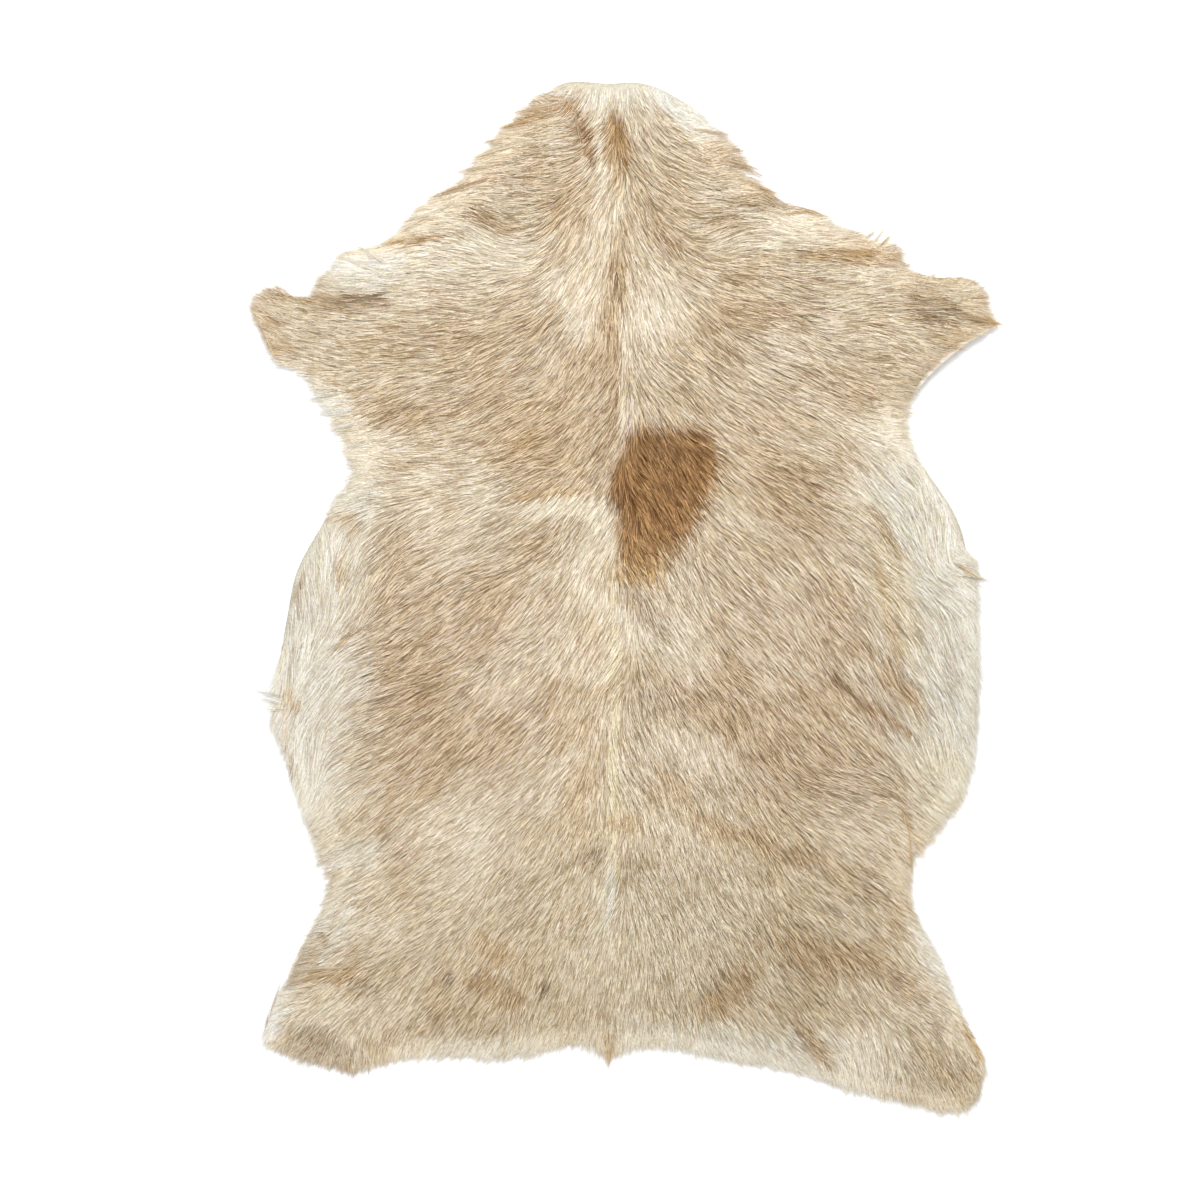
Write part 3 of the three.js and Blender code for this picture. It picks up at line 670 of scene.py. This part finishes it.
def undercoat_material():
    """Short matted wool under the hair, darker than it: its own colour, and painted shade deep under the
    hair.
    """
    material, tree, shader = node_material("undercoat_wool")
    wool = noise_ramp(tree, 900, 4, (0.3, (0.6, 0.57, 0.52)), (0.7, (1, 1, 1)))
    set_base(tree, shader, coat_layer(tree), wool)
    set_sockets(shader, Roughness=0.95, Specular_IOR_Level=0.1)
    bumped(tree, shader, noise_node(tree, 700, 4), 0.8, 0.001)
    return material


def leather_material():
    """The pale flesh side and cut edge, with a suede nap and faint yellow-brown stains."""
    material, tree, shader = node_material("hide_leather")
    stains = noise_ramp(tree, 9, 6, (0.35, rgb("flesh")), (0.62, rgb("leather")))
    nap = noise_ramp(tree, 650, 5, (0.25, (0.84, 0.82, 0.79)), (0.75, (1, 1, 1)))
    set_base(tree, shader, stains, nap)
    rough = noise_ramp(tree, 140, 3, (0.3, (0.74,) * 3), (0.7, (0.92,) * 3))
    tree.links.new(rough, shader.inputs["Roughness"])
    set_sockets(shader, Specular_IOR_Level=0.25)
    bumped(tree, shader, noise_node(tree, 480, 6), 0.5, 0.0006)
    return material


# The leather and the undercoat: slabs inside the rim of the skin

def skin_rim(extra, under_hair=False):
    """The cut edge of the skin. It lies further in where the hair points outwards and hides it."""
    loop = smoothed(RIM, SKIN_SMOOTHING)
    for turn_number in range(SKIN_PASSES):
        before, after = np.roll(loop, 1, axis=0), np.roll(loop, -1, axis=0)
        area = np.sum(loop[:, 0] * after[:, 1] - after[:, 0] * loop[:, 1])
        outward = np.stack([(after - before)[:, 1], (before - after)[:, 0]], axis=1) * np.sign(area)
        outward /= np.linalg.norm(outward, axis=1)[:, None]
        turn = flow(*loop.T)
        facing = outward[:, 0] * np.cos(turn) + outward[:, 1] * np.sin(turn)
        bare = bare_depth(*loop.T)
        need = 0.5 + 1.2 * np.clip(1 + 2 * facing, 0, 1) + 6 * np.maximum(facing, 0) ** 1.5
        need = np.where(bare > 1, np.minimum(0.4 * bare, 2.5), need) + extra
        inside = ground.read(coat_net, *loop.T) + (0 if under_hair else bare)
        step = np.clip(need - inside, 0, 1)
        calm = (0.25 * np.clip(2 * step, 0, 1))[:, None]
        loop = (loop - outward * step[:, None]) * (1 - 2 * calm) + calm * (before + after)
        if turn_number % 6 == 5:
            loop = smoothed(loop, 1)
    return loop


def slab_piece(name, rim, step, low, high, material):
    """A closed slab inside a rim in plan, its underside and top at given heights, with a finer net
    where its edge turns up."""
    box_low, box_high = rim.min(axis=0), rim.max(axis=0)
    fine = step / 2
    inner, room = [], []
    for k, y in enumerate(np.arange(box_low[1], box_high[1], fine * ROW_PITCH)):
        x = np.arange(box_low[0] + (k % 2) * fine / 2, box_high[0], fine)
        coarse = (k % 2 == 0) & (np.arange(len(x)) % 2 == k // 2 % 2)
        turned_up = bare_depth(x, y) > 0.3
        chosen = coarse | turned_up
        inner.append(np.stack([x, np.full(len(x), y)], axis=1)[chosen])
        room.append(np.where(turned_up, fine, step)[chosen])
    inner, room = np.vstack(inner), np.concatenate(room)
    inner = inner[polygon_distance(inner[:, 0], inner[:, 1], rim) > 0.45 * room]
    flat = np.vstack([rim, inner])
    count = len(rim)
    edges = [(k, (k + 1) % count) for k in range(count)]
    points, _, faces, *_ = delaunay_2d_cdt([Vector(p) for p in flat.tolist()], edges, [], 1, 1e-5)
    points = np.array([tuple(p) for p in points])
    faces = np.array([f for f in faces if len(f) == 3])
    x, y = points.T
    under = np.column_stack([points, low(x, y)])
    over = np.column_stack([points, high(x, y)])
    directed = {(f[k], f[(k + 1) % 3]) for f in faces.tolist() for k in range(3)}
    border = np.array([e for e in sorted(directed) if (e[1], e[0]) not in directed])
    n = len(points)
    wall = np.vstack([
        np.column_stack([border[:, 0], border[:, 1] + n, border[:, 0] + n]),
        np.column_stack([border[:, 0], border[:, 1], border[:, 1] + n]),
    ])
    triangles = np.vstack([faces + n, faces[:, ::-1], wall])
    return new_piece(name, np.vstack([under, over]), triangles, material)


def leather_low(x, y):
    bare = np.minimum(1, bare_depth(x, y) / 2)
    lip = LIP * bare * np.clip(1 - ground.read(ground.rim, x, y) / LIP_WIDTH, 0, 1) ** 1.3
    return ground.read(ground.under, x, y) + FLOOR_GAP + lip


def leather_high(x, y):
    return leather_low(x, y) + LEATHER * (0.9 + 0.2 * roll(x, y, 12, 31))


def pile(x, y):
    """Height of the coat over the leather."""
    return np.maximum(ground.read(ground.top, x, y) - ground.read(ground.under, x, y) - LEATHER, 0.4)


def undercoat_high(x, y):
    lumps = 0.75 + 0.35 * roll(x, y, 9, 32) + 0.2 * roll(x, y, 4.6, 33)
    return leather_high(x, y) + UNDERCOAT_SHARE * pile(x, y) * lumps


# The hair: strands in locks

class Strands:
    """Strands as arrays: root, middle and tip, width, roll about the strand's length, and colour."""

    def __init__(self, *arrays):
        self.arrays = arrays

    def part(self, chosen):
        return Strands(*(a[chosen] for a in self.arrays))

    def joined(self, other):
        return Strands(*(np.concatenate(pair) for pair in zip(self.arrays, other.arrays)))


def strand_mesh(name, strands, material):
    """Strands as narrow lozenges, each of two triangles."""
    root, middle, tip, width, roll_turn, colour = strands.arrays
    run = (tip - root) * np.array([1, 1, 0])
    run /= np.linalg.norm(run, axis=1)[:, None]
    side = np.column_stack([-run[:, 1], run[:, 0], np.zeros(len(run))])
    side = side * np.cos(roll_turn)[:, None] + np.array([0, 0, 1]) * np.sin(roll_turn)[:, None]
    half = side * (width / 2)[:, None]
    points = np.stack([root, middle - half, middle + half, tip], axis=1)
    count = len(root)
    triangles = (np.arange(count)[:, None, None] * 4 + np.array([(0, 1, 2), (1, 3, 2)])).reshape(-1, 3)
    piece = new_piece(name, points.reshape(-1, 3), triangles, material)
    # Each strand is darker at its root and lighter at its tip: the hair's banding, and painted shade deep
    # in the coat.
    colours = np.clip(colour[:, None, :] * STRAND_SHADES[None, :, None], 0, 0.98)
    add_colour(piece, "coat", colours.reshape(-1, 3))
    columns = int(math.ceil(math.sqrt(count)))
    rows = math.ceil(count / columns)
    cell = np.stack([np.arange(count) % columns, np.arange(count) // columns], axis=1)
    place = np.array([(0.5, 0.06), (0.94, 0.45), (0.06, 0.45), (0.5, 0.94)])
    uv = (cell[:, None, :] + place[None]) / np.array([columns, rows])
    add_map(piece, uv.reshape(-1, 2)[triangles.ravel()])
    return piece


def lock_middles(rng):
    """Middles of locks on a net of triangles, each moved a little at random, inside the outline."""
    low, high = RIM.min(axis=0), RIM.max(axis=0)
    places = []
    for k, y in enumerate(np.arange(low[1], high[1], LOCK_SPACING * ROW_PITCH)):
        x = np.arange(low[0] + (k % 2) * LOCK_SPACING / 2, high[0], LOCK_SPACING)
        places.append(np.stack([x, np.full(len(x), y)], axis=1))
    places = np.vstack(places)
    places += rng.uniform(-0.45, 0.45, places.shape) * LOCK_SPACING
    return places[ground.read(ground.rim, *places.T) > 0.6]


def way_out(x, y, turn):
    """How far it is from each place to the outline, in the direction that the hair points."""
    out = np.full(len(x), WAY_OUT_LIMIT)
    near = np.nonzero(ground.read(coat_net, x, y) < WAY_OUT_LIMIT)[0]
    found = np.zeros(len(near), bool)
    for reach in np.arange(0, WAY_OUT_LIMIT, 1.5):
        there_x, there_y = x[near] + reach * np.cos(turn[near]), y[near] + reach * np.sin(turn[near])
        outside = ~found & (ground.read(coat_net, there_x, there_y) < 0)
        out[near[outside]] = reach
        found |= outside
    return out


def laid(root_x, root_y, length, turn, bend, layer, rng):
    """Roots, middles and tips of strands laid along the flow, at their heights in the coat."""
    middle_x = root_x + BELLY * length * np.cos(turn)
    middle_y = root_y + BELLY * length * np.sin(turn)
    turn_on = turn + bend + flow(middle_x, middle_y) - flow(root_x, root_y)
    tip_x = middle_x + (1 - BELLY) * length * np.cos(turn_on)
    tip_y = middle_y + (1 - BELLY) * length * np.sin(turn_on)
    root_z = undercoat_high(root_x, root_y) - 0.8
    full = pile(middle_x, middle_y)
    middle_z = leather_high(middle_x, middle_y) + full * (0.74 + 0.2 * layer)
    full = pile(tip_x, tip_y)
    tip_z = leather_high(tip_x, tip_y) + full * (0.64 + 0.3 * layer + 0.04 * rng.normal(0, 1, len(tip_x)))
    floor = FLOOR_GAP + 0.15
    root = np.column_stack([root_x, root_y, np.maximum(root_z, floor)])
    middle = np.column_stack([middle_x, middle_y, np.maximum(middle_z, floor + 0.2)])
    tip = np.column_stack([tip_x, tip_y, np.maximum(tip_z, floor)])
    return root, middle, tip


def coat_strands():
    """All strands of the coat."""
    rng = np.random.default_rng(7)
    middles = lock_middles(rng)
    count = len(middles)
    x, y = middles.T
    calm = liveliness(coat_colour(x, y))
    swing = 20 * (roll(x, y, 30, 41) - 0.5) + 14 * (roll(x, y, 9, 42) - 0.5) + rng.normal(0, 3.5, count)
    swing += 0.8 * np.maximum(ground.read(hair_length, x, y) - 21, 0) * (2 * roll(x, y, 16, 43) - 1)
    lock_turn = np.radians(swing * (0.4 + 0.6 * calm))
    lock_length = ground.read(hair_length, x, y) * rng.uniform(0.85, 1.12, count)
    lock_layer = rng.normal(0, 0.16, count)
    lock_tone = rng.normal(0, 1, count)
    lock_from = rng.normal(0, 2.8, count)
    lock_reach = rng.normal(-0.7, 1, count) * (0.3 + lock_length / 34)
    lock_luck = rng.random(count)
    each = np.repeat(np.arange(count), STRANDS)
    total = len(each)
    across = rng.uniform(-1, 1, total)
    along = rng.uniform(-LOCK_SPREAD, LOCK_SPREAD, total)
    base = flow(x, y)[each] + lock_turn[each]
    c, s = np.cos(base), np.sin(base)
    aside = across * LOCK_HALF_WIDTH
    root_x = x[each] + along * c - aside * s
    root_y = y[each] + along * s + aside * c
    length = lock_length[each] * rng.uniform(0.8, 1.1, total)
    turn = flow(root_x, root_y) + lock_turn[each] - 0.04 * across
    out = way_out(root_x, root_y, turn)
    out += RAGGED * (lock_reach[each] + rng.uniform(-2, 0.9, total) - 0.8 * np.abs(across))
    out += wispiness(x, y)[each] * (0.5 * lock_luck[each] + 0.5 * rng.random(total)) ** 2.6
    back = np.maximum(length - out, 0)
    short = np.clip(out - length, 0, 12)
    length += np.where((out < WAY_OUT_LIMIT - 8) & (short < 12) & (rng.random(total) < 0.75), short, 0)
    root_x, root_y = root_x - back * np.cos(turn), root_y - back * np.sin(turn)
    # Strands at the sides of a lock lie lower, and the tone below darkens them: painted shade on the lock's
    # rounded sides.
    layer = np.clip(rng.uniform(0.05, 1, total) + lock_layer[each] - 0.12 * across**2, 0, 1.15)
    # Dark strands, laid high in the coat: dark hairs, and painted shade of the gaps between the locks.
    dark = rng.random(total) < DARK_SHARE
    layer = np.where(dark, 0.7 + 0.34 * layer, layer)
    bend = -0.08 * across + rng.normal(0, 0.08, total)
    root, middle, tip = laid(root_x, root_y, length, turn, bend, layer, rng)
    width = STRAND_WIDTH * ground.read(hair_width, x, y)[each] * rng.uniform(0.7, 1.25, total)
    width = np.where(dark, 0.66 * width, width)
    from_x = root_x + 0.62 * length * c + (lock_from[each] + rng.normal(0, 1.5, total)) * c
    from_y = root_y + 0.62 * length * s + (lock_from[each] + rng.normal(0, 1.5, total)) * s
    colour = coat_colour(from_x, from_y)
    lively = liveliness(colour)
    # Lower strands are darker: painted shade deep in the coat, plus a random tone for each lock and strand.
    tone = 0.28 * (layer - 0.62) + 0.055 * lock_tone[each] + 0.108 * rng.normal(0, 1, total)
    tone = np.where(dark, DARK_TONE, tone)
    tint = 0.5 * np.clip(1.6 - 1.4 * colour.mean(axis=1), 0, 1)
    golden = np.where(rng.random(total) < GOLDEN_SHARE, tint, 0)
    colour = blended(colour, "orange", golden[:, None])
    colour = blended(colour, "brown", (dark * 0.42 * np.clip(lively, 0, 1))[:, None])
    colour = toned(colour, np.clip(COAT_TONE + lively * tone, 0.4, 1.4))
    colour = np.clip(colour * (1 + rng.normal(0, 1, (total, 3)) * HUE_SCATTER), 0, 0.97)
    keep = (ground.read(skin_net, root_x, root_y) > 0.3) & (ground.read(coat_net, root_x, root_y) > -0.5)
    roll_turn = rng.normal(0, 1, total) * (0.16 + 0.26 * lively)
    return Strands(root, middle, tip, width, roll_turn, colour).part(keep)


def rim_fuzz():
    """Fine pale strands that pass the rim wherever the hair points outwards."""
    rng = np.random.default_rng(19)
    low, high = RIM.min(axis=0), RIM.max(axis=0)
    x, y = (rng.uniform(low[k], high[k], FUZZ * 16) for k in range(2))
    near = (ground.read(skin_net, x, y) > 0.3) & (ground.read(coat_net, x, y) < 14) & (bare_depth(x, y) < 1)
    x, y = x[near], y[near]
    turn = flow(x, y) + np.radians(10 * (roll(x, y, 14, 51) - 0.5) + rng.normal(0, 7, len(x)))
    out = way_out(x, y, turn)
    near = (out < 20) & (out > 1)
    x, y, turn, out = (a[near][:FUZZ] for a in (x, y, turn, out))
    count = len(x)
    ragged = roll(x, y, 9, 52)
    length = out + rng.uniform(-2, 2 + 9 * ragged, count)
    layer = rng.uniform(0.1, 1, count)
    root, middle, tip = laid(x, y, length, turn, rng.normal(0, 0.16, count), layer, rng)
    colour = coat_colour(x, y)
    colour = blended(colour, "white", 0.45 * np.clip(2.2 * colour.mean(axis=1) - 0.75, 0, 1)[:, None])
    colour = toned(colour, np.clip(rng.normal(0.95, 0.12, count), 0.5, 1.2))
    width = FUZZ_WIDTH * rng.uniform(0.7, 1.3, count)
    return Strands(root, middle, tip, width, rng.normal(0, 0.6, count), colour)


def lifted(places, rises, lift, gap):
    """Roots, middles and tips of loose strands, at their heights over the leather."""
    shares = [rise + 0.3 * lift for rise in rises]
    heights = [leather_high(*p.T) + pile(*p.T) * share + gap for p, share in zip(places, shares)]
    return [np.column_stack([p, z]) for p, z in zip(places, heights)]


def rim_tufts():
    """Wisps of long strands that draw together past the rim."""
    rng = np.random.default_rng(29)
    tufts = []
    for base_x, base_y, tip_x, tip_y, wide, name in TUFTS:
        count = int(TUFT_STRANDS * wide)
        run = np.array([tip_x - base_x, tip_y - base_y], float)
        reach = np.hypot(*run)
        ahead = run / reach
        aside = np.array([-ahead[1], ahead[0]])
        across = np.clip(rng.normal(0, 0.42, count), -1, 1)
        start = np.array([base_x, base_y]) + np.outer(across * wide / 2, aside)
        start += np.outer(rng.uniform(-0.8, 0.3, count) * reach, ahead)
        share = 1 - 0.5 * rng.random(count) ** 1.6
        end = np.array([base_x, base_y]) + np.outer(share * reach, ahead)
        end += np.outer(across * (1.02 - share) * wide * 0.6 + rng.normal(0, 0.8, count), aside)
        belly = 0.42 * end + 0.58 * start + np.outer(across * 0.12 * wide, aside)
        own = (0.15 + 0.6 * share**2)[:, None]
        colour = blended(coat_colour(*start.T), name, own)
        colour = toned(colour, np.clip(rng.normal(0.92, 0.22, count), 0.45, 1.35))
        lift = rng.uniform(0.2, 1, count)
        root, middle, tip = lifted((start, belly, end), (0.1, 0.75, 0.6), lift, 0.3)
        width = TUFT_WIDTH * rng.uniform(0.7, 1.3, count)
        tufts.append(Strands(root, middle, tip, width, rng.normal(0, 0.5, count), colour))
    whole = tufts[0]
    for tuft in tufts[1:]:
        whole = whole.joined(tuft)
    return whole.part(ground.read(skin_net, *whole.arrays[0][:, :2].T) > -7)


def rim_wisps():
    """Pointed wisps, side by side, wherever the hair points outwards at the rim."""
    rng = np.random.default_rng(37)
    rim = smoothed(RIM, COAT_SMOOTHING)
    steps = rng.uniform(0.3, 1.7, 2 * len(rim)) * WISP_SPACING / LOOP_STEP
    tips = rim[np.cumsum(steps).astype(int) % len(rim)]
    tips = tips[: int(len(rim) * LOOP_STEP / WISP_SPACING)] + rng.normal(0, 1.5, (1, 2))
    turn = flow(*tips.T) + np.radians(rng.normal(0, 9, len(tips)))
    ahead = np.column_stack([np.cos(turn), np.sin(turn)])
    reach = ground.read(hair_length, *tips.T) * rng.uniform(0.8, 1.25, len(tips))
    inside = ground.read(coat_net, *(tips - ahead * reach[:, None] * 0.6).T)
    chosen = (inside > 0.22 * reach) & (bare_depth(*tips.T) < 1)
    tips, ahead, reach = tips[chosen], ahead[chosen], reach[chosen]
    over = rng.normal(0.6, 3, len(tips)) * (0.4 + reach / 34)
    tips = tips + ahead * over[:, None]
    each = np.repeat(np.arange(len(tips)), WISP_STRANDS)
    total = len(each)
    side = np.column_stack([-ahead[:, 1], ahead[:, 0]])
    wide = rng.uniform(2.5, 6, len(tips)) * reach / 22
    across = np.clip(rng.normal(0, 0.5, total), -1.2, 1.2)
    short = reach[each] * 0.55 * rng.random(total) ** 1.7
    narrow = 0.1 + 0.8 * short / reach[each]
    end = tips[each] - ahead[each] * short[:, None] + side[each] * (across * narrow * wide[each])[:, None]
    end += rng.normal(0, 0.35, (total, 2))
    long = reach[each] * rng.uniform(0.75, 1.1, total)
    start = end - ahead[each] * long[:, None] + side[each] * (across * (1 - narrow) * wide[each])[:, None]
    belly = 0.45 * end + 0.55 * start + side[each] * (across * 0.25 * wide[each])[:, None]
    lift = rng.uniform(0.1, 1, total)
    root, middle, tip = lifted((start, belly, end), (0.1, 0.72, 0.6), lift, 0.2)
    colour = coat_colour(*start.T)
    tone = rng.normal(0, 0.14, total) + rng.normal(0, 0.08, len(tips))[each]
    colour = toned(colour, np.clip(COAT_TONE + liveliness(colour) * tone, 0.45, 1.3))
    width = TUFT_WIDTH * rng.uniform(0.7, 1.3, total)
    wisps = Strands(root, middle, tip, width, rng.normal(0, 0.5, total), colour)
    return wisps.part(ground.read(skin_net, *start.T) > 0.3)


skin_edge = skin_rim(0)
skin_net = polygon_distance(net_x, net_y, skin_edge)
hair = hair_material()
leather = slab_piece("hide_leather", skin_edge, LEATHER_STEP, leather_low, leather_high, leather_material())
undercoat = slab_piece(
    "undercoat", skin_rim(0.4, under_hair=True), UNDERCOAT_STEP, lambda x, y: leather_high(x, y) - 0.1,
    undercoat_high, undercoat_material(),
)
co = np.empty(len(undercoat.data.vertices) * 3)
undercoat.data.vertices.foreach_get("co", co)
place = co.reshape(-1, 3) / MM
wool = coat_colour(place[:, 0], place[:, 1])
# The wool takes the hair's colour, darkened: its own colour, and painted shade deep under the hair.
add_colour(undercoat, "coat", toned(wool, COAT_TONE - 0.2 * liveliness(wool)))

strands = coat_strands()
order = np.argsort(-strands.arrays[0][:, 1], kind="stable")
REGIONS = ["coat_neck", "coat_shoulders", "coat_back", "coat_loin", "coat_rump"]
cuts = np.linspace(0, len(order), len(REGIONS) + 1).astype(int)
coat = [
    strand_mesh(name, strands.part(order[start:end]), hair)
    for name, start, end in zip(REGIONS, cuts[:-1], cuts[1:])
]
coat.append(strand_mesh("rim_hair", rim_fuzz().joined(rim_wisps()).joined(rim_tufts()), hair))
counts = [len(piece.data.polygons) for piece in (leather, undercoat, *coat)]
print("triangles", sum(counts), counts)

# What each piece is in the frame

pieces = [leather, undercoat, *coat]
for piece in pieces:
    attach(piece, "root")
    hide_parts(NODE)


# Floor, light and camera

def plain_floor():
    bpy.ops.mesh.primitive_plane_add(size=6, location=(0, 0, 0))
    floor = bpy.context.object
    floor.name = "floor"
    material, _, shader = node_material("pale_floor")
    set_sockets(shader, Base_Color=(0.93, 0.93, 0.93, 1), Roughness=0.9, Specular_IOR_Level=0.1)
    floor.data.materials.append(material)


def area_light(name, place, size, energy):
    """A square light that points at the middle of the hide."""
    data = bpy.data.lights.new(name, "AREA")
    data.shape = "SQUARE"
    data.size = size
    data.energy = energy
    light = bpy.data.objects.new(name, data)
    light.location = place
    light.rotation_euler = (-Vector(place)).to_track_quat("-Z", "Y").to_euler()
    bpy.context.scene.collection.objects.link(light)


def add_camera():
    data = bpy.data.cameras.new("camera")
    data.lens = LENS
    data.sensor_width = SENSOR
    camera = bpy.data.objects.new("camera", data)
    height = PHOTO_WIDTH * MM * LENS / SENSOR
    camera.location = (PHOTO_MIDDLE[0] * MM, PHOTO_MIDDLE[1] * MM, height)
    bpy.context.scene.collection.objects.link(camera)
    bpy.context.scene.camera = camera


plain_floor()
area_light("key", (0.35, 1.3, 2.1), 0.9, 46)
area_light("fill", (-1.2, -0.6, 2.2), 2.2, 22)
world = bpy.data.worlds.new("studio")
world.use_nodes = True
set_sockets(world.node_tree.nodes["Background"], Color=(0.95, 0.97, 1, 1), Strength=0.62)
bpy.context.scene.world = world
bpy.context.scene.view_settings.view_transform = "Standard"
add_camera()
